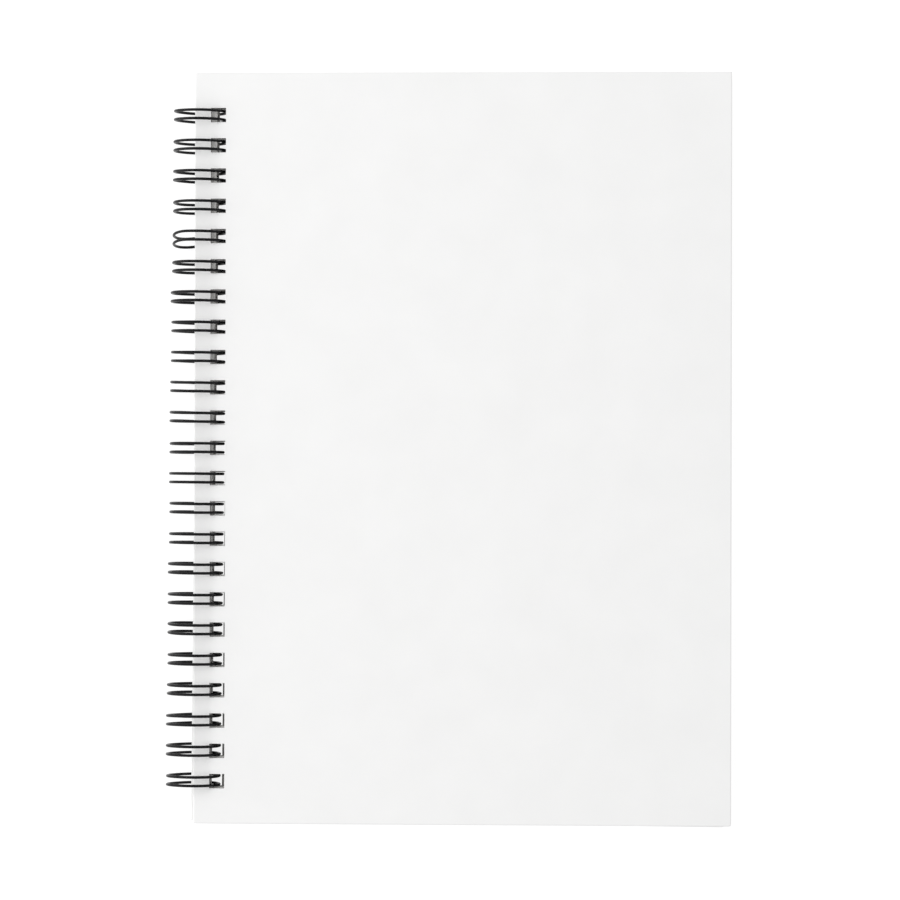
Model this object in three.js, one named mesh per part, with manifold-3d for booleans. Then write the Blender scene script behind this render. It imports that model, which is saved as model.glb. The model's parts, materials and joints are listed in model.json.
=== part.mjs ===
// A wire-bound hardcover sketchbook, closed and lying on its back cover.
// Millimetres, +Z up. +Y runs along the spine and +X from the spine to the fore-edge.
// Everything is laid out around the binding's axis first. The whole book is then
// moved so that its origin is at the middle of its footprint, on the surface it lies on.

import * as THREE from 'three';
import { mergeVertices } from 'three/addons/utils/BufferGeometryUtils.js';
import Module from 'manifold-3d';

const wasm = await Module();
wasm.setup();

// Driving dimensions of the binding
const LOOP_COUNT = 23;
const LOOP_PITCH = 25.4 / 3;
const WIRE_DIAMETER = 0.8;
const RING_RADIUS = 7.35; // from the binding's axis to the middle of the wire
const TWIN_SPACING = 2.4; // between the two wires of one loop
const SEAM_ANGLE = -66; // degrees; where each loop starts, just below the back cover
const TIP_GAP_ANGLE = 7.5; // degrees between a loop's tip and the straight links
const LINK_BEND = 0.8; // radius of the bend from a loop into a link

// Driving dimensions of the punched holes
const HOLE_WIDTH = 4.2; // across the spine
const HOLE_HEIGHT = 4; // along the spine

// Driving dimensions of the covers
const COVER_WIDTH = 150;
const COVER_HEIGHT = 210;
const COVER_MARGIN = 4.5; // from the spine edge to the holes
const WRAP_THICKNESS = 0.15;
const LINER_THICKNESS = 0.12;
const BOARD_THICKNESS = 1.22;
const GLUE_GAP = 0.02; // between glued layers
const TURN_IN = 15; // width of the wrap that is folded over onto the inner side
const LINER_INSET = 3;
// Degrees that each cover, loose on its loops, has turned about the middle of its holes
const FRONT_COVER_SKEW = 0.55;
const BACK_COVER_SKEW = 0.15;

// Driving dimensions of the leaves
const LEAF_WIDTH = 146;
const LEAF_HEIGHT = 206;
const LEAF_MARGIN = 3.3;
const LEAF_THICKNESS = 0.21;
const LEAVES_PER_SECTION = 3;
const SECTION_COUNT = 10;
const SECTION_GAP = 0.02;

// Where each part's spine edge and lowest face lie, from the binding's axis
const FRONT_COVER_EDGE_X = -0.4;
const FRONT_COVER_INNER_Z = 2.5;
const BACK_COVER_EDGE_X = -1.25;
const BACK_COVER_INNER_Z = -4.25;
const LEAF_EDGE_X = 1.4;
const LEAF_STACK_BOTTOM_Z = -4.13;

// How finely the wire is faceted
const WIRE_SIDES = 6;
const ARC_STEPS = 12;
const TIP_STEPS = 4;

const MATERIALS = {
  wire: { color: 0x101012, roughness: 0.35, metalness: 0.6 },
  wrap: { color: 0xf4f4f3, roughness: 0.6, metalness: 0 },
  board: { color: 0x75726c, roughness: 0.9, metalness: 0 },
  liner: { color: 0xf7f6f2, roughness: 0.75, metalness: 0 },
  leaf: { color: 0xfaf9f5, roughness: 0.85, metalness: 0 },
};

function namedMesh(name, geometry, finish) {
  const mesh = new THREE.Mesh(geometry, new THREE.MeshStandardMaterial(MATERIALS[finish]));
  mesh.name = name;
  return mesh;
}

function toSolid(geometry) {
  const bare = geometry.clone();
  bare.deleteAttribute('normal');
  bare.deleteAttribute('uv');
  const merged = mergeVertices(bare, 1e-4);
  return new wasm.Manifold(new wasm.Mesh({
    numProp: 3,
    vertProperties: merged.attributes.position.array,
    triVerts: new Uint32Array(merged.index.array),
  }));
}

function toGeometry(solid) {
  const mesh = solid.getMesh();
  const geometry = new THREE.BufferGeometry();
  geometry.setAttribute('position', new THREE.BufferAttribute(mesh.vertProperties, 3));
  geometry.setIndex(new THREE.BufferAttribute(mesh.triVerts, 1));
  const flat = geometry.toNonIndexed();
  flat.computeVertexNormals();
  return flat;
}

// The middle of loop number i along the spine; the loops are centred on y = 0.
function loopY(i) {
  return (i - (LOOP_COUNT - 1) / 2) * LOOP_PITCH;
}

// Flat outlines. x runs from a sheet's spine edge, y from the middle of the spine.

function rectanglePoints(left, right, halfHeight) {
  return [
    new THREE.Vector2(left, -halfHeight),
    new THREE.Vector2(right, -halfHeight),
    new THREE.Vector2(right, halfHeight),
    new THREE.Vector2(left, halfHeight),
  ];
}

function holePath(left, y) {
  const points = rectanglePoints(left, left + HOLE_WIDTH, HOLE_HEIGHT / 2);
  return new THREE.Path(points.map((point) => point.add(new THREE.Vector2(0, y))));
}

function punchedOutline(left, right, halfHeight, holeLeft) {
  const outline = new THREE.Shape(rectanglePoints(left, right, halfHeight));
  for (let i = 0; i < LOOP_COUNT; i += 1) {
    outline.holes.push(holePath(holeLeft, loopY(i)));
  }
  return outline;
}

function slab(outline, thickness, bottom) {
  const geometry = new THREE.ExtrudeGeometry(outline, { depth: thickness, bevelEnabled: false });
  geometry.translate(0, 0, bottom);
  return geometry;
}

// One wire, bent into a comb of twin-wire loops and rolled round the binding's axis.
// The bent wire is first laid out flat: s is the distance round the ring, y along the spine.

const FACET_ANGLE = (2 * Math.PI) / ARC_STEPS;

// The corners of the chords lie as far outside the true ring as their middles lie inside it.
const RING_FACET_RADIUS = (RING_RADIUS * 2) / (1 + Math.cos(FACET_ANGLE / 2));

function degreesToLength(degrees) {
  return THREE.MathUtils.degToRad(degrees) * RING_RADIUS;
}

function rollOntoRing(flatPoint) {
  const angle = flatPoint.x / RING_RADIUS;
  return new THREE.Vector3(
    RING_FACET_RADIUS * Math.cos(angle),
    flatPoint.y,
    RING_FACET_RADIUS * Math.sin(angle),
  );
}

function flatWirePoints() {
  const seam = degreesToLength(SEAM_ANGLE);
  const tip = degreesToLength(SEAM_ANGLE + 360 - TIP_GAP_ANGLE);
  const tipRadius = TWIN_SPACING / 2;
  const arcStart = seam + LINK_BEND;
  const arcEnd = tip - tipRadius;
  const points = [];
  for (let i = 0; i < LOOP_COUNT; i += 1) {
    const y = loopY(i);
    if (i > 0) {
      points.push(new THREE.Vector2(seam, y - tipRadius - LINK_BEND));
    }
    for (let step = 0; step <= ARC_STEPS; step += 1) {
      const s = THREE.MathUtils.lerp(arcStart, arcEnd, step / ARC_STEPS);
      points.push(new THREE.Vector2(s, y - tipRadius));
    }
    for (let step = 1; step < TIP_STEPS; step += 1) {
      const angle = (Math.PI * step) / TIP_STEPS;
      const s = arcEnd + tipRadius * Math.sin(angle);
      points.push(new THREE.Vector2(s, y - tipRadius * Math.cos(angle)));
    }
    for (let step = ARC_STEPS; step >= 0; step -= 1) {
      const s = THREE.MathUtils.lerp(arcStart, arcEnd, step / ARC_STEPS);
      points.push(new THREE.Vector2(s, y + tipRadius));
    }
    if (i < LOOP_COUNT - 1) {
      points.push(new THREE.Vector2(seam, y + tipRadius + LINK_BEND));
    }
  }
  return points;
}

// A curve that runs straight from point to point, with one step of the sweep for each.
class WireCurve extends THREE.Curve {
  constructor(points) {
    super();
    this.points = points;
  }

  getPoint(t) {
    const place = t * (this.points.length - 1);
    const before = Math.min(Math.floor(place), this.points.length - 2);
    const start = this.points[before];
    return start.clone().lerp(this.points[before + 1], place - before);
  }

  getUtoTmapping(u) {
    return u;
  }

  getTangent(t) {
    const here = Math.round(t * (this.points.length - 1));
    const tangent = new THREE.Vector3();
    if (here > 0) {
      tangent.add(this.points[here].clone().sub(this.points[here - 1]).normalize());
    }
    if (here < this.points.length - 1) {
      tangent.add(this.points[here + 1].clone().sub(this.points[here]).normalize());
    }
    return tangent.normalize();
  }
}

function wireSection() {
  const points = [];
  for (let side = 0; side < WIRE_SIDES; side += 1) {
    const angle = (2 * Math.PI * side) / WIRE_SIDES;
    const corner = new THREE.Vector2(Math.cos(angle), Math.sin(angle));
    points.push(corner.multiplyScalar(WIRE_DIAMETER / 2));
  }
  return new THREE.Shape(points);
}

function makeWire() {
  const points = flatWirePoints().map(rollOntoRing);
  const geometry = new THREE.ExtrudeGeometry(wireSection(), {
    steps: points.length - 1,
    extrudePath: new WireCurve(points),
    bevelEnabled: false,
  });
  return namedMesh('binding_wire', geometry, 'wire');
}

// A hard cover lies with its inner face at z = 0 and its outer face up.
// From the inside out: liner, the wrap's turned-in border, board, the wrap's outer sheet.

const TURN_IN_BOTTOM = LINER_THICKNESS + GLUE_GAP;
const BOARD_BOTTOM = TURN_IN_BOTTOM + WRAP_THICKNESS + GLUE_GAP;
const OUTER_SHEET_BOTTOM = BOARD_BOTTOM + BOARD_THICKNESS + GLUE_GAP;
const COVER_THICKNESS = OUTER_SHEET_BOTTOM + WRAP_THICKNESS;

function makeLiner(name) {
  const outline = punchedOutline(
    LINER_INSET,
    COVER_WIDTH - LINER_INSET,
    COVER_HEIGHT / 2 - LINER_INSET,
    COVER_MARGIN,
  );
  return namedMesh(name, slab(outline, LINER_THICKNESS, 0), 'liner');
}

function makeBoard(name) {
  const inset = WRAP_THICKNESS + GLUE_GAP;
  const outline = punchedOutline(
    inset,
    COVER_WIDTH - inset,
    COVER_HEIGHT / 2 - inset,
    COVER_MARGIN,
  );
  return namedMesh(name, slab(outline, BOARD_THICKNESS, BOARD_BOTTOM), 'board');
}

function makeWrap(name) {
  const sheetOutline = punchedOutline(0, COVER_WIDTH, COVER_HEIGHT / 2, COVER_MARGIN);
  const outerSheet = slab(sheetOutline, WRAP_THICKNESS, OUTER_SHEET_BOTTOM);

  const turnInOutline = punchedOutline(0, COVER_WIDTH, COVER_HEIGHT / 2, COVER_MARGIN);
  const window = rectanglePoints(TURN_IN, COVER_WIDTH - TURN_IN, COVER_HEIGHT / 2 - TURN_IN);
  turnInOutline.holes.push(new THREE.Path(window));
  const turnIn = slab(turnInOutline, WRAP_THICKNESS, TURN_IN_BOTTOM);

  const edgeOutline = new THREE.Shape(rectanglePoints(0, COVER_WIDTH, COVER_HEIGHT / 2));
  const inside = rectanglePoints(
    WRAP_THICKNESS,
    COVER_WIDTH - WRAP_THICKNESS,
    COVER_HEIGHT / 2 - WRAP_THICKNESS,
  );
  edgeOutline.holes.push(new THREE.Path(inside));
  const edges = slab(edgeOutline, COVER_THICKNESS - TURN_IN_BOTTOM, TURN_IN_BOTTOM);

  const solid = toSolid(outerSheet).add(toSolid(turnIn)).add(toSolid(edges));
  return namedMesh(name, toGeometry(solid), 'wrap');
}

function makeCover(side) {
  const cover = new THREE.Group();
  cover.add(makeBoard(`${side}_cover_board`));
  cover.add(makeWrap(`${side}_cover_wrap`));
  cover.add(makeLiner(`${side}_cover_liner`));
  return cover;
}

// A cover in its place on the loops, with its outer face up or down.
function placeCover(side, { edgeX, innerZ, skew, faceDown }) {
  const holeMiddle = COVER_MARGIN + HOLE_WIDTH / 2;
  const cover = makeCover(side);
  cover.position.x = -holeMiddle;
  cover.rotation.x = faceDown ? Math.PI : 0;
  const turned = new THREE.Group();
  turned.add(cover);
  turned.position.set(edgeX + holeMiddle, 0, innerZ);
  turned.rotation.z = THREE.MathUtils.degToRad(skew);
  return turned;
}

function makeFrontCover() {
  return placeCover('front', {
    edgeX: FRONT_COVER_EDGE_X,
    innerZ: FRONT_COVER_INNER_Z,
    skew: FRONT_COVER_SKEW,
    faceDown: false,
  });
}

function makeBackCover() {
  return placeCover('back', {
    edgeX: BACK_COVER_EDGE_X,
    innerZ: BACK_COVER_INNER_Z,
    skew: BACK_COVER_SKEW,
    faceDown: true,
  });
}

// The leaves lie in sections of a few sheets. Section 0 is at the front.
const SECTION_THICKNESS = LEAF_THICKNESS * LEAVES_PER_SECTION;

function twoDigits(number) {
  return String(number).padStart(2, '0');
}

function makeSection(index) {
  const first = index * LEAVES_PER_SECTION + 1;
  const last = first + LEAVES_PER_SECTION - 1;
  const outline = punchedOutline(0, LEAF_WIDTH, LEAF_HEIGHT / 2, LEAF_MARGIN);
  const name = `leaves_${twoDigits(first)}_${twoDigits(last)}`;
  const section = namedMesh(name, slab(outline, SECTION_THICKNESS, 0), 'leaf');
  const sectionsBelow = SECTION_COUNT - 1 - index;
  const height = sectionsBelow * (SECTION_THICKNESS + SECTION_GAP);
  section.position.set(LEAF_EDGE_X, 0, LEAF_STACK_BOTTOM_Z + height);
  return section;
}

const book = new THREE.Group();
book.add(makeWire());
book.add(makeFrontCover());
for (let index = 0; index < SECTION_COUNT; index += 1) {
  book.add(makeSection(index));
}
book.add(makeBackCover());

const box = new THREE.Box3().setFromObject(book, true);
const middle = box.getCenter(new THREE.Vector3());
book.position.set(-middle.x, -middle.y, -box.min.z);

const sketchbook = new THREE.Group();
sketchbook.add(book);

export default sketchbook;
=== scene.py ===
# %% [markdown]
# # A wire-bound sketchbook
# The book has two hard covers, thirty drawing leaves and one long wire. The wire is bent
# into twin loops that pass through square holes. A imported model already fixes the size
# and place of every part, so this lesson only makes the parts look right. It starts by
# loading that model as a frame.

# %% Load the frame
import json
import math
import random

import bmesh
import bpy
from mathutils import Matrix, Vector, noise


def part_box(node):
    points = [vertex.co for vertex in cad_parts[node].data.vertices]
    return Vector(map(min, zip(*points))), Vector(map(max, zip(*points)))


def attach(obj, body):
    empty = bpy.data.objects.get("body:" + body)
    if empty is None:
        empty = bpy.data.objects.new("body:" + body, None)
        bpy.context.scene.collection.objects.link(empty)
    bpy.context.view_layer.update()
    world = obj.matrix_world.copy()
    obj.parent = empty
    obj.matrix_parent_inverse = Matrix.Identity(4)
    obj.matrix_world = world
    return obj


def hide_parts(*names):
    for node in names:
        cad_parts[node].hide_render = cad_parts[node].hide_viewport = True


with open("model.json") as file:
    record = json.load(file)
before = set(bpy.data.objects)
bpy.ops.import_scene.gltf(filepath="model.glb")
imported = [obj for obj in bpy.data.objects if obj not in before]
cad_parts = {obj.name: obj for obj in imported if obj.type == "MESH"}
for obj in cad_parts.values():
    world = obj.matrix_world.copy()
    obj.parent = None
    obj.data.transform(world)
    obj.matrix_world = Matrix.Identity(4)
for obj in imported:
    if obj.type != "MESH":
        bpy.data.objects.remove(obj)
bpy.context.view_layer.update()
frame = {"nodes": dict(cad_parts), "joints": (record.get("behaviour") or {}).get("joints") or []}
MM = 0.001

# %% [markdown]
# The camera and the lights come first, because every later choice is judged through
# them. The book is seen from almost straight above by a long lens one metre away. The
# camera stands 40 mm to the fore-edge side of the spot it looks at and 8 mm towards the
# tail, so the fore-edge looks a little larger than the spine.

# %% Camera
CAMERA_HEIGHT = 1.0
CAMERA_LEAN = Vector((40 * MM, -8 * MM, 0))
CAMERA_ROLL = math.radians(0.68)
VIEW_WIDTH = 251.0 * MM
VIEW_SHIFT = Vector((-3.4 * MM, -0.5 * MM, 0))


def box_middle(node):
    low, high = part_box(node)
    return (low + high) / 2


def make_camera():
    data = bpy.data.cameras.new("overhead_camera")
    data.sensor_width = 36
    data.lens = data.sensor_width * CAMERA_HEIGHT / VIEW_WIDTH
    camera = bpy.data.objects.new("overhead_camera", data)
    bpy.context.scene.collection.objects.link(camera)
    target = box_middle("front_cover_wrap") + VIEW_SHIFT
    camera.location = target + CAMERA_LEAN + Vector((0, 0, CAMERA_HEIGHT))
    back = (camera.location - target).normalized()
    right = Vector((0, 1, 0)).cross(back).normalized()
    facing = Matrix((right, back.cross(right), back)).transposed()
    roll = Matrix.Rotation(CAMERA_ROLL, 3, "Z")
    camera.rotation_euler = (facing @ roll).to_euler()
    bpy.context.scene.camera = camera
    return camera


camera = make_camera()
bpy.context.scene.view_settings.view_transform = "Standard"
print("lens in mm:", round(camera.data.lens, 1))

# %% [markdown]
# A white book on a white table needs soft light with a little direction. Most of it comes
# from an even sky, which keeps the shadows of the loops faint. One panel hangs over the
# spine, towards the head, so the cover darkens a little towards its fore-edge. Another,
# low beside the spine, draws the reflections on the black wire.

# %% Lights
LIGHTS = {
    "head_panel": {"place": (-0.6, 0.3, 0.9), "size": 0.9, "power": 3.5},
    "spine_side_panel": {"place": (-1.1, 0.0, 0.35), "size": 0.7, "power": 3.8},
}
SKY_STRENGTH = 0.75


def make_light(name, place, size, power):
    data = bpy.data.lights.new(name, "AREA")
    data.size = size
    data.energy = power
    light = bpy.data.objects.new(name, data)
    bpy.context.scene.collection.objects.link(light)
    light.location = place
    light.rotation_euler = (-Vector(place)).to_track_quat("-Z", "Y").to_euler()


def make_sky():
    sky = bpy.data.worlds.new("even_sky")
    sky.use_nodes = True
    background = sky.node_tree.nodes["Background"]
    background.inputs["Color"].default_value = (1, 1, 1, 1)
    background.inputs["Strength"].default_value = SKY_STRENGTH
    bpy.context.scene.world = sky


for name, settings in LIGHTS.items():
    make_light(name, **settings)
make_sky()
print("lights:", ", ".join(LIGHTS))

# %% [markdown]
# All measures below are the maker's own, in millimetres turned into metres. The binding's
# axis comes from the frame's joints, and the middle of the spine from the leaves.

# %% Measures of the book
LOOP_COUNT = 23
LOOP_PITCH = 25.4 / 3 * MM
WIRE_RADIUS = 0.4 * MM
RING_RADIUS = 7.35 * MM
TWIN_SPACING = 2.4 * MM
SEAM_ANGLE = math.radians(-66)
TIP_GAP_ANGLE = math.radians(7.5)
LINK_BEND = 0.8 * MM

HOLE_WIDTH = 4.2 * MM
HOLE_HEIGHT = 4.0 * MM

COVER_WIDTH = 150 * MM
COVER_HEIGHT = 210 * MM
COVER_MARGIN = 4.5 * MM
COVER_THICKNESS = 1.7 * MM
TURN_IN = 15 * MM
TURN_IN_BOTTOM = 0.14 * MM
WRAP_THICKNESS = 0.15 * MM
FRONT_COVER_SKEW = math.radians(0.55)
BACK_COVER_SKEW = math.radians(0.15)
FRONT_COVER_EDGE_X = -0.4 * MM
FRONT_COVER_INNER_Z = 2.5 * MM
BACK_COVER_EDGE_X = -1.25 * MM
BACK_COVER_INNER_Z = -4.25 * MM

LEAF_WIDTH = 146 * MM
LEAF_HEIGHT = 206 * MM
LEAF_MARGIN = 3.3 * MM
LEAF_EDGE_X = 1.4 * MM
LEAF_PITCH = 0.21 * MM
LEAVES_PER_SECTION = 3
SECTIONS = sorted(name for name in frame["nodes"] if name.startswith("leaves_"))

axis_x, _, axis_z = frame["joints"][0]["pos_m"]
spine_middle = box_middle(SECTIONS[0]).y
AXIS = Vector((axis_x, spine_middle, axis_z))


def loop_y(index):
    return (index - (LOOP_COUNT - 1) / 2) * LOOP_PITCH


print("binding axis:", [round(value, 5) for value in AXIS], "sections:", len(SECTIONS))

# %% [markdown]
# A finished mesh becomes a piece in four steps: make the object, give it a finish, let it
# ride on its body, and hide the part of the frame it stands for. One helper does this
# for every piece, so no step is ever forgotten.

# %% From mesh to piece
def mesh_from(build, name):
    mesh = bpy.data.meshes.new(name)
    build.to_mesh(mesh)
    build.free()
    return mesh


def make_piece(name, mesh, material, body, stands_for):
    piece = bpy.data.objects.new(name, mesh)
    bpy.context.scene.collection.objects.link(piece)
    mesh.materials.clear()
    mesh.materials.append(material)
    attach(piece, body)
    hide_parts(stands_for)
    return piece


# %% [markdown]
# Paper, board and coated wire are all plain to look at, so their small irregularities
# matter. Each finish is a principled shader with noise for colour, roughness and height.
# The noise is read in object space, in metres, so its scale is a real size on the book.
# A noise seldom leaves the middle of its range, so the helpers stretch that middle part.
# Each finish then only sets its own numbers.

# %% Helpers for finishes
NOISE_LOW = 0.3
NOISE_HIGH = 0.7


def new_finish(name):
    material = bpy.data.materials.new(name)
    material.use_nodes = True
    nodes = material.node_tree.nodes
    shader = nodes["Principled BSDF"]
    place = nodes.new("ShaderNodeTexCoord")
    return material, shader, place


def link(material, source, target):
    material.node_tree.links.new(source, target)


def add_noise(material, place, grain, detail=4.0, stretch=(1, 1, 1)):
    """A noise whose grains are about `grain` metres across."""
    nodes = material.node_tree.nodes
    mapping = nodes.new("ShaderNodeMapping")
    mapping.inputs["Scale"].default_value = stretch
    texture = nodes.new("ShaderNodeTexNoise")
    texture.inputs["Scale"].default_value = 1 / grain
    texture.inputs["Detail"].default_value = detail
    link(material, place.outputs["Object"], mapping.inputs["Vector"])
    link(material, mapping.outputs["Vector"], texture.inputs["Vector"])
    return texture.outputs["Fac"]


def add_colour(material, shader, factor, dark, light, low=NOISE_LOW, high=NOISE_HIGH):
    """Spreads the base colour between two tones by a noise."""
    ramp = material.node_tree.nodes.new("ShaderNodeValToRGB")
    ramp.color_ramp.elements[0].position = low
    ramp.color_ramp.elements[0].color = (*dark, 1)
    ramp.color_ramp.elements[1].position = high
    ramp.color_ramp.elements[1].color = (*light, 1)
    link(material, factor, ramp.inputs["Fac"])
    link(material, ramp.outputs["Color"], shader.inputs["Base Color"])


def add_roughness(material, shader, factor, smoothest, roughest):
    """Spreads the roughness between two values by a noise."""
    spread = material.node_tree.nodes.new("ShaderNodeMapRange")
    spread.inputs["From Min"].default_value = NOISE_LOW
    spread.inputs["From Max"].default_value = NOISE_HIGH
    spread.inputs["To Min"].default_value = smoothest
    spread.inputs["To Max"].default_value = roughest
    link(material, factor, spread.inputs["Value"])
    link(material, spread.outputs["Result"], shader.inputs["Roughness"])


def add_bump(material, shader, factor, height, below=None):
    """Raises the surface by a noise, over another bump where `below` is given."""
    bump = material.node_tree.nodes.new("ShaderNodeBump")
    bump.inputs["Strength"].default_value = 1.0
    bump.inputs["Distance"].default_value = height
    link(material, factor, bump.inputs["Height"])
    if below is not None:
        link(material, below.outputs["Normal"], bump.inputs["Normal"])
    link(material, bump.outputs["Normal"], shader.inputs["Normal"])
    return bump


print("noise is stretched from", NOISE_LOW, "to", NOISE_HIGH)

# %% [markdown]
# The covers are wrapped in smooth white paper with a faint satin sheen. Seen close, it
# has a fine tooth and cloudy patches a centimetre across, from the glue beneath.

# %% White wrap paper
def wrap_paper():
    material, shader, place = new_finish("white_wrap_paper")
    clouds = add_noise(material, place, grain=14 * MM, detail=3)
    tooth = add_noise(material, place, grain=0.7 * MM, detail=5)
    ripple = add_noise(material, place, grain=5 * MM, detail=2)
    add_colour(material, shader, clouds, (0.885, 0.885, 0.882), (0.905, 0.905, 0.902))
    add_roughness(material, shader, tooth, 0.42, 0.56)
    coarse = add_bump(material, shader, ripple, height=0.03 * MM)
    add_bump(material, shader, tooth, height=0.02 * MM, below=coarse)
    shader.inputs["Specular IOR Level"].default_value = 0.35
    return material


WRAP_PAPER = wrap_paper()
print("made", WRAP_PAPER.name)

# %% [markdown]
# Drawing paper is softer and warmer than the wrap. Its fibres lie mostly along the sheet,
# so the noise for them is stretched. The liner is the same family but smoother.

# %% Drawing paper and liner
def drawing_paper():
    material, shader, place = new_finish("drawing_paper")
    pulp = add_noise(material, place, grain=3 * MM, detail=6)
    fibre = add_noise(material, place, grain=0.35 * MM, detail=4, stretch=(1, 0.35, 1))
    add_colour(material, shader, pulp, (0.86, 0.852, 0.83), (0.9, 0.893, 0.875))
    add_roughness(material, shader, fibre, 0.78, 0.92)
    add_bump(material, shader, fibre, height=0.03 * MM)
    shader.inputs["Specular IOR Level"].default_value = 0.2
    return material


def liner_paper():
    material, shader, place = new_finish("smooth_liner")
    pulp = add_noise(material, place, grain=6 * MM, detail=5)
    fibre = add_noise(material, place, grain=0.5 * MM, detail=3, stretch=(0.4, 1, 1))
    add_colour(material, shader, pulp, (0.865, 0.86, 0.845), (0.89, 0.885, 0.87))
    add_roughness(material, shader, fibre, 0.66, 0.8)
    add_bump(material, shader, fibre, height=0.015 * MM)
    shader.inputs["Specular IOR Level"].default_value = 0.25
    return material


DRAWING_PAPER = drawing_paper()
LINER_PAPER = liner_paper()
print("made", DRAWING_PAPER.name, "and", LINER_PAPER.name)

# %% [markdown]
# Greyboard shows only on the walls of the punched holes. It is grey recycled pulp with
# dark and light flecks, painted far darker than real board to stand for the shade deep
# in the holes. The wire is steel under a black nylon coat, which is glossy but slightly
# uneven, so its reflections waver.

# %% Greyboard and coated wire
def greyboard_with_painted_shade():
    material, shader, place = new_finish("greyboard_with_painted_shade")
    flecks = add_noise(material, place, grain=0.4 * MM, detail=8)
    # Both fleck tones are painted shade: real greyboard is a lighter grey than this.
    dark_fleck_with_painted_shade = (0.03, 0.029, 0.027)
    pale_fleck_with_painted_shade = (0.11, 0.105, 0.1)
    add_colour(material, shader, flecks, dark_fleck_with_painted_shade, pale_fleck_with_painted_shade, low=0.35, high=0.65)
    add_bump(material, shader, flecks, height=0.06 * MM)
    shader.inputs["Roughness"].default_value = 0.95
    return material


def coated_wire():
    material, shader, place = new_finish("black_coated_wire")
    coat = add_noise(material, place, grain=1.6 * MM, detail=3)
    add_colour(material, shader, coat, (0.003, 0.003, 0.0035), (0.007, 0.007, 0.008))
    add_roughness(material, shader, coat, 0.24, 0.36)
    add_bump(material, shader, coat, height=0.02 * MM)
    shader.inputs["Specular IOR Level"].default_value = 0.15
    return material


GREYBOARD_WITH_PAINTED_SHADE = greyboard_with_painted_shade()
COATED_WIRE = coated_wire()
print("made", GREYBOARD_WITH_PAINTED_SHADE.name, "and", COATED_WIRE.name)

# %% [markdown]
# The binding is one wire, bent flat into a comb and then rolled into a tube. It could be
# modelled as 46 separate rings, but the real thing is a single line, and so is this one.
# The line is drawn flat first: one coordinate runs round the ring and one along the spine.

# %% The flat comb
ARC_STEPS = 64
TIP_STEPS = 10
BEND_STEPS = 5


def quarter_bend(corner_s, corner_y, side, rising):
    """Points on the small bend between a straight link and a loop's wire.

    `side` is the way the link leaves along the spine. The points start on the link
    where the wire is rising into the loop, and end on it where the wire comes back.
    """
    points = []
    for step in range(BEND_STEPS + 1):
        turn = math.pi / 2 * step / BEND_STEPS
        along = LINK_BEND * (1 - math.sin(turn))
        out = LINK_BEND * (1 - math.cos(turn))
        points.append((corner_s + out, corner_y + side * along))
    return points if rising else points[::-1]


def comb_loop(index):
    """One twin loop as (distance round the ring, distance along the spine)."""
    y = loop_y(index)
    seam = SEAM_ANGLE * RING_RADIUS
    tip_radius = TWIN_SPACING / 2
    start = seam + LINK_BEND
    end = (SEAM_ANGLE + 2 * math.pi - TIP_GAP_ANGLE) * RING_RADIUS - tip_radius
    climb = [start + (end - start) * step / ARC_STEPS for step in range(1, ARC_STEPS)]
    tip = []
    for step in range(TIP_STEPS + 1):
        turn = math.pi * step / TIP_STEPS
        tip.append((end + tip_radius * math.sin(turn), y - tip_radius * math.cos(turn)))
    points = quarter_bend(seam, y - tip_radius, side=-1, rising=True)
    points += [(s, y - tip_radius) for s in climb]
    points += tip
    points += [(s, y + tip_radius) for s in reversed(climb)]
    points += quarter_bend(seam, y + tip_radius, side=1, rising=False)
    return points


print("points in one loop:", len(comb_loop(0)))

# %% [markdown]
# Real loops are never quite alike. Handling leans each one a little along the spine. A
# seeded random lean gives every loop its own, and it is kept inside the play that the
# wire has in its holes. The fifth loop from the head has been bent much further, so it has
# a lean of its own. The lean fades out where the wire passes through the holes.

# %% Roll the comb into a ring
LEAN_FROM = math.radians(110)
LEAN_TO = math.radians(330)
HOLE_PLAY = (HOLE_HEIGHT - TWIN_SPACING - 2 * WIRE_RADIUS) / 2
LEAN_LIMIT = 0.9 * HOLE_PLAY
BENT_LOOP = LOOP_COUNT - 5
BENT_LOOP_LEAN = -1.5 * MM
SIDE_SPREAD = 0.16 * MM
loop_chance = random.Random(11)
LOOP_SIDE = [loop_chance.gauss(0, SIDE_SPREAD) for _ in range(LOOP_COUNT)]
LOOP_LEAN = [loop_chance.uniform(-LEAN_LIMIT, LEAN_LIMIT) for _ in range(LOOP_COUNT)]
LOOP_LEAN[BENT_LOOP] = BENT_LOOP_LEAN


def lean_share(angle):
    """0 where the wire is held by the holes, 1 at the middle of its free side."""
    if not LEAN_FROM < angle < LEAN_TO:
        return 0.0
    return math.sin(math.pi * (angle - LEAN_FROM) / (LEAN_TO - LEAN_FROM)) ** 2


def roll(point, index):
    angle = point[0] / RING_RADIUS
    share = lean_share(angle)
    radius = RING_RADIUS + LOOP_SIDE[index] * share
    around = Vector((radius * math.cos(angle), 0, radius * math.sin(angle)))
    along = Vector((0, point[1] + LOOP_LEAN[index] * share, 0))
    return AXIS + around + along


def wire_line():
    points = []
    for index in range(LOOP_COUNT):
        loop = comb_loop(index)
        if index == 0:
            loop = loop[BEND_STEPS:]
        if index == LOOP_COUNT - 1:
            loop = loop[: len(loop) - BEND_STEPS]
        points += [roll(point, index) for point in loop]
    return points


line = wire_line()
line_length = sum((end - start).length for start, end in zip(line, line[1:]))
print("length of the wire in metres:", round(line_length, 2))

# %% [markdown]
# The line becomes wire as a curve with a round bevel. The curve could stay a curve, but a
# mesh shades and exports the same everywhere, so it is turned into one.

# %% Make the wire
WIRE_SMOOTHNESS = 3


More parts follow.
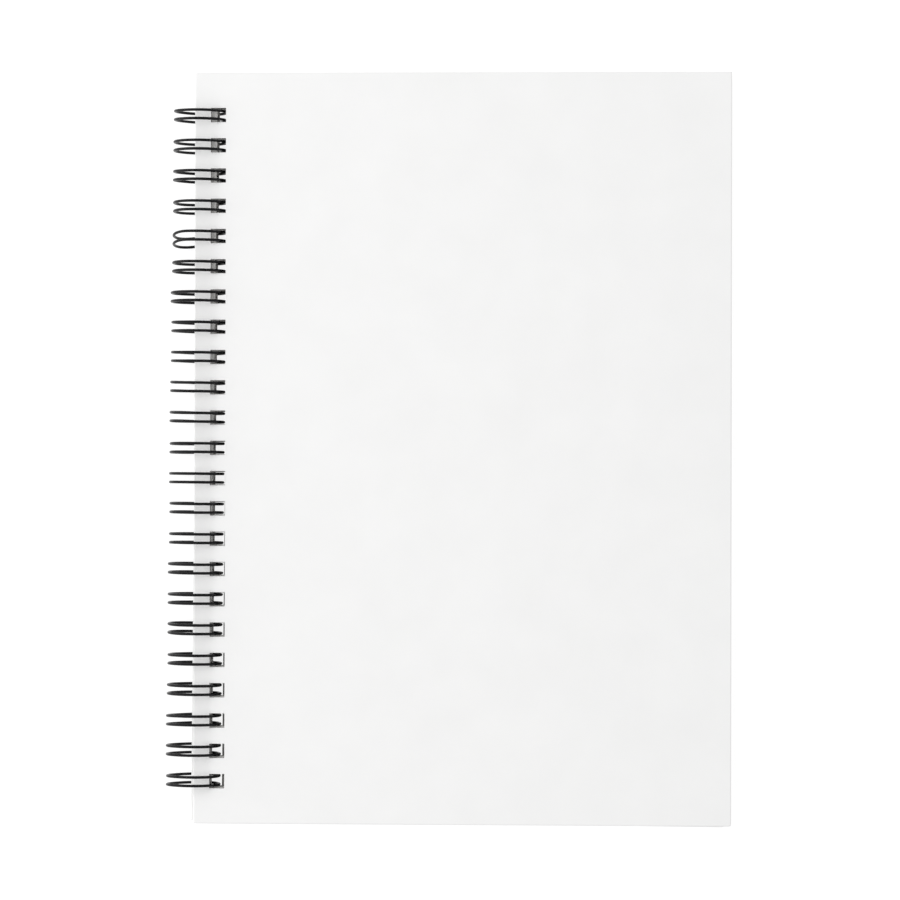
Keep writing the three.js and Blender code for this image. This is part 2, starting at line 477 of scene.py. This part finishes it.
def make_wire(points):
    data = bpy.data.curves.new("binding_wire_line", "CURVE")
    data.dimensions = "3D"
    data.bevel_depth = WIRE_RADIUS
    data.bevel_resolution = WIRE_SMOOTHNESS
    data.use_fill_caps = True
    spline = data.splines.new("POLY")
    spline.points.add(len(points) - 1)
    for spot, point in zip(spline.points, points):
        spot.co = (*point, 1)
    curve = bpy.data.objects.new("binding_wire_line", data)
    bpy.context.scene.collection.objects.link(curve)
    seen = bpy.context.evaluated_depsgraph_get()
    mesh = bpy.data.meshes.new_from_object(curve.evaluated_get(seen))
    bpy.data.objects.remove(curve)
    for polygon in mesh.polygons:
        polygon.use_smooth = True
    return make_piece("wire_comb", mesh, COATED_WIRE, "binding", "binding_wire")


wire = make_wire(line)
print("faces in the wire:", len(wire.data.polygons))

# %% [markdown]
# Covers, liners and leaves are all flat sheets with the same row of square holes. Cutting
# holes with booleans leaves long thin triangles that crease when a sheet bends. Here a
# sheet is a grid of rectangles whose lines run along the edges of the holes, and a hole is
# simply a cell that is left out.

# %% A grid with holes
def grid_lines(low, high, marks, step):
    """Every mark inside the range, with more lines so that no gap is over `step`."""
    fixed = sorted({low, high, *[mark for mark in marks if low < mark < high]})
    lines = [low]
    for start, end in zip(fixed, fixed[1:]):
        count = max(1, math.ceil((end - start) / step))
        lines += [start + (end - start) * part / count for part in range(1, count + 1)]
    return lines


def hole_marks():
    half = HOLE_HEIGHT / 2
    return [loop_y(i) + side for i in range(LOOP_COUNT) for side in (-half, half)]


def in_hole(x, y, hole_left):
    if not hole_left < x < hole_left + HOLE_WIDTH:
        return False
    nearest = min(abs(y - loop_y(i)) for i in range(LOOP_COUNT))
    return nearest < HOLE_HEIGHT / 2


def add_grid(build, x_lines, y_lines, z, is_open, upward=True):
    """Adds a flat grid at height z, without the cells that is_open(x, y) names."""
    spots = {}

    def spot(i, j):
        if (i, j) not in spots:
            spots[i, j] = build.verts.new((x_lines[i], y_lines[j], z))
        return spots[i, j]

    for i in range(len(x_lines) - 1):
        for j in range(len(y_lines) - 1):
            x = (x_lines[i] + x_lines[i + 1]) / 2
            y = (y_lines[j] + y_lines[j + 1]) / 2
            if is_open(x, y):
                continue
            corners = [spot(i, j), spot(i + 1, j), spot(i + 1, j + 1), spot(i, j + 1)]
            build.faces.new(corners if upward else corners[::-1])


print("grid lines across the holes:", len(hole_marks()))

# %% [markdown]
# A cover's wrap is one sheet of paper folded round the board. It is modelled as a thin
# shell: the outer face, four walls, and the border that is turned in. The faces are built
# one by one and then welded where they meet.

# %% Fold the wrap
WRAP_GRID = 12 * MM
WELD = 0.001 * MM


def add_walls(build, x_lines, y_lines):
    ring = [(x, y_lines[0]) for x in x_lines]
    ring += [(x_lines[-1], y) for y in y_lines[1:]]
    ring += [(x, y_lines[-1]) for x in reversed(x_lines[:-1])]
    ring += [(x_lines[0], y) for y in reversed(y_lines[1:-1])]
    for start, end in zip(ring, ring[1:] + ring[:1]):
        corners = [(*start, TURN_IN_BOTTOM), (*end, TURN_IN_BOTTOM)]
        corners += [(*end, COVER_THICKNESS), (*start, COVER_THICKNESS)]
        build.faces.new([build.verts.new(corner) for corner in corners])


def wrap_shell():
    build = bmesh.new()
    half = COVER_HEIGHT / 2
    x_marks = [COVER_MARGIN, COVER_MARGIN + HOLE_WIDTH, TURN_IN, COVER_WIDTH - TURN_IN]
    y_marks = [*hole_marks(), TURN_IN - half, half - TURN_IN]
    x_lines = grid_lines(0, COVER_WIDTH, x_marks, WRAP_GRID)
    y_lines = grid_lines(-half, half, y_marks, WRAP_GRID)

    def open_outside(x, y):
        return in_hole(x, y, COVER_MARGIN)

    def open_inside(x, y):
        window = TURN_IN < x < COVER_WIDTH - TURN_IN and abs(y) < half - TURN_IN
        return window or in_hole(x, y, COVER_MARGIN)

    add_grid(build, x_lines, y_lines, COVER_THICKNESS, open_outside)
    add_grid(build, x_lines, y_lines, TURN_IN_BOTTOM, open_inside, upward=False)
    add_walls(build, x_lines, y_lines)
    bmesh.ops.remove_doubles(build, verts=build.verts, dist=WELD)
    return build


print("the wrap is turned in by", round(TURN_IN / MM), "mm on all four sides")

# %% [markdown]
# The board's edges are a little rounded, and paper can't fold sharper than they are. The
# shell's corners and then its long edges are bevelled, and only after that is it given
# the thickness of paper, which keeps that thickness even round the bends.

# %% Round the wrap's edges
EDGE_ROUNDING = 0.35 * MM
CORNER_ROUNDING = 0.7 * MM
EDGE_SEGMENTS = 3
CORNER_SEGMENTS = 4
ROUND_PROFILE = 0.5
FOLD = math.radians(60)


def round_edges(build, upright, size, segments):
    """Bevels the shell's folds: the upright ones at its corners, or the level ones."""
    chosen = []
    for edge in build.edges:
        if len(edge.link_faces) != 2 or edge.calc_face_angle() < FOLD:
            continue
        rise = abs(edge.verts[0].co.z - edge.verts[1].co.z)
        if (rise > COVER_THICKNESS / 2) == upright:
            chosen.append(edge)
    bmesh.ops.bevel(
        build,
        geom=chosen,
        offset=size,
        segments=segments,
        profile=ROUND_PROFILE,
        affect="EDGES",
        clamp_overlap=True,
    )


def thickened(mesh, thickness):
    """The mesh with a thickness added on its inner side."""
    shell = bpy.data.objects.new("shell", mesh)
    bpy.context.scene.collection.objects.link(shell)
    solidify = shell.modifiers.new("thickness", "SOLIDIFY")
    solidify.thickness = thickness
    solidify.offset = -1
    solidify.use_even_offset = True
    seen = bpy.context.evaluated_depsgraph_get()
    result = bpy.data.meshes.new_from_object(shell.evaluated_get(seen))
    bpy.data.objects.remove(shell)
    return result


def wrap_mesh(name):
    build = wrap_shell()
    round_edges(build, upright=True, size=CORNER_ROUNDING, segments=CORNER_SEGMENTS)
    round_edges(build, upright=False, size=EDGE_ROUNDING, segments=EDGE_SEGMENTS)
    mesh = thickened(mesh_from(build, name), WRAP_THICKNESS)
    mesh.name = name
    return mesh


print("edges rounded by", round(EDGE_ROUNDING / MM, 2), "mm")

# %% [markdown]
# Both covers hang loosely on their loops. The front one has turned by about half a
# degree and the back one, which lies face down, by less. Each wrap is made flat at the
# origin and then moved into place. Its lowest corner is printed.

# %% Place the wraps
def cover_place(edge_x, inner_z, skew):
    """Moves a cover from its own corner to its place, turned about its holes."""
    hole_middle = COVER_MARGIN + HOLE_WIDTH / 2
    pivot = AXIS + Vector((edge_x + hole_middle, 0, inner_z))
    turn = Matrix.Rotation(skew, 4, "Z")
    return Matrix.Translation(pivot) @ turn @ Matrix.Translation((-hole_middle, 0, 0))


FRONT_PLACE = cover_place(FRONT_COVER_EDGE_X, FRONT_COVER_INNER_Z, FRONT_COVER_SKEW)
FACE_DOWN = Matrix.Rotation(math.pi, 4, "X")
BACK_PLACE = cover_place(BACK_COVER_EDGE_X, BACK_COVER_INNER_Z, BACK_COVER_SKEW) @ FACE_DOWN


def make_wrap(side, place):
    mesh = wrap_mesh(side + "_wrap")
    mesh.transform(place)
    body = side + "_cover"
    node = body + "_wrap"
    piece = make_piece(side + "_wrap", mesh, WRAP_PAPER, body, node)
    made_low = [min(vert.co[k] for vert in piece.data.vertices) for k in range(3)]
    print(node, "lowest corner as made:", [round(value, 4) for value in made_low])


make_wrap("front", FRONT_PLACE)
make_wrap("back", BACK_PLACE)

# %% [markdown]
# The leaves are thirty separate sheets, and paper never lies dead flat. Each leaf waves a
# little towards its fore-edge, and the lower ones sag onto the back cover. No two sheets
# were punched in quite the same place either, so the holes don't line up exactly. A stack
# of equal boxes would be quicker, but its edges would look like one solid block.

# %% Shape a leaf
LEAF_THICKNESS = 0.17 * MM
LEAF_GRID = 11 * MM
LEAF_COUNT = len(SECTIONS) * LEAVES_PER_SECTION
DEEPEST_SAG = 0.1 * MM
SAG_START = 12 * MM
SAG_END = 70 * MM
WAVE_HEIGHT = 0.06 * MM
WAVE_LENGTH = 60 * MM
WAVE_CHANGE = 0.05
STRAY_ACROSS = 0.12 * MM
STRAY_ALONG = 0.3 * MM
leaf_chance = random.Random(5)


def smooth_step(value, low, high):
    share = min(1.0, max(0.0, (value - low) / (high - low)))
    return share * share * (3 - 2 * share)


def leaf_lift(x, y, number):
    """How far leaf `number`, counted from the front, bends up at a point on it."""
    away = smooth_step(x, SAG_START, SAG_END)
    depth = number / (LEAF_COUNT - 1)
    spot = Vector((x / WAVE_LENGTH, y / WAVE_LENGTH, number * WAVE_CHANGE))
    wave = noise.noise(spot) * WAVE_HEIGHT
    return away * (wave - DEEPEST_SAG * depth)


def leaf_mesh(number, bottom):
    build = bmesh.new()
    half = LEAF_HEIGHT / 2
    x_marks = [LEAF_MARGIN, LEAF_MARGIN + HOLE_WIDTH]
    x_lines = grid_lines(0, LEAF_WIDTH, x_marks, LEAF_GRID)
    y_lines = grid_lines(-half, half, hole_marks(), LEAF_GRID)
    top = bottom + LEAF_THICKNESS
    add_grid(build, x_lines, y_lines, top, lambda x, y: in_hole(x, y, LEAF_MARGIN))
    across = leaf_chance.uniform(0, STRAY_ACROSS)
    shift = Vector((across, leaf_chance.uniform(-STRAY_ALONG, STRAY_ALONG), 0))
    for vert in build.verts:
        vert.co.z += leaf_lift(vert.co.x, vert.co.y, number)
        vert.co += shift
    mesh = thickened(mesh_from(build, f"leaf_{number + 1:02d}"), LEAF_THICKNESS)
    mesh.transform(Matrix.Translation((AXIS.x + LEAF_EDGE_X, AXIS.y, 0)))
    return mesh


print("leaves to make:", LEAF_COUNT)

# %% [markdown]
# The frame holds the leaves in sections of three, each with its own hinge. Every leaf is
# its own piece here, and rides with its section. Within a section the first leaf is the
# uppermost one, so the place is counted down from the top.

# %% Lay the leaves
def make_leaf(number):
    section = SECTIONS[number // LEAVES_PER_SECTION]
    place_in_section = LEAVES_PER_SECTION - 1 - number % LEAVES_PER_SECTION
    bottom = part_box(section)[0].z + place_in_section * LEAF_PITCH
    mesh = leaf_mesh(number, bottom)
    name = f"leaf_{number + 1:02d}"
    return make_piece(name, mesh, DRAWING_PAPER, section, section)


leaves = [make_leaf(number) for number in range(LEAF_COUNT)]
print("leaves:", len(leaves), "faces in each:", len(leaves[0].data.polygons))

# %% [markdown]
# The boards and the liners already have their true shape in the frame. They could be made
# again as pieces, but nothing would be gained, so they only get their finish.

# %% Finish the boards and liners
def finish_node(node, material):
    slots = frame["nodes"][node].data.materials
    slots.clear()
    slots.append(material)


for side in ("front", "back"):
    finish_node(side + "_cover_board", GREYBOARD_WITH_PAINTED_SHADE)
    finish_node(side + "_cover_liner", LINER_PAPER)
print("finished the boards and liners")

# %% [markdown]
# The book lies on a pale light table. The rings reach lower than the back cover, so a
# real book rests on its rings and on its far edge. Rather than tip the book, the table is
# tipped by the same small angle. It glows, which is why the holes look white from above,
# but its glow isn't let onto the book, whose underside stays as dark as on a plain table.

# %% Table
TABLE_SIZE = 6.0
TABLE_GLOW = 0.8
TABLE_GREY = 0.3


def table_finish():
    material, shader, _ = new_finish("light_table")
    shader.inputs["Base Color"].default_value = (TABLE_GREY, TABLE_GREY, TABLE_GREY, 1)
    shader.inputs["Roughness"].default_value = 1.0
    shader.inputs["Specular IOR Level"].default_value = 0.0
    shader.inputs["Emission Color"].default_value = (1, 1, 1, 1)
    shader.inputs["Emission Strength"].default_value = TABLE_GLOW
    return material


def make_table():
    ring_bottom = AXIS.z - RING_RADIUS - WIRE_RADIUS
    low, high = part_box("back_cover_wrap")
    tilt = math.atan2(low.z - ring_bottom, high.x - AXIS.x)
    build = bmesh.new()
    bmesh.ops.create_grid(build, x_segments=1, y_segments=1, size=TABLE_SIZE / 2)
    table = bpy.data.objects.new("table_top", mesh_from(build, "table_top"))
    bpy.context.scene.collection.objects.link(table)
    table.data.materials.append(table_finish())
    table.location = (AXIS.x, 0, ring_bottom)
    table.rotation_euler = (0, -tilt, 0)
    table.visible_diffuse = False
    print("table tilt in degrees:", round(math.degrees(tilt), 2))


make_table()
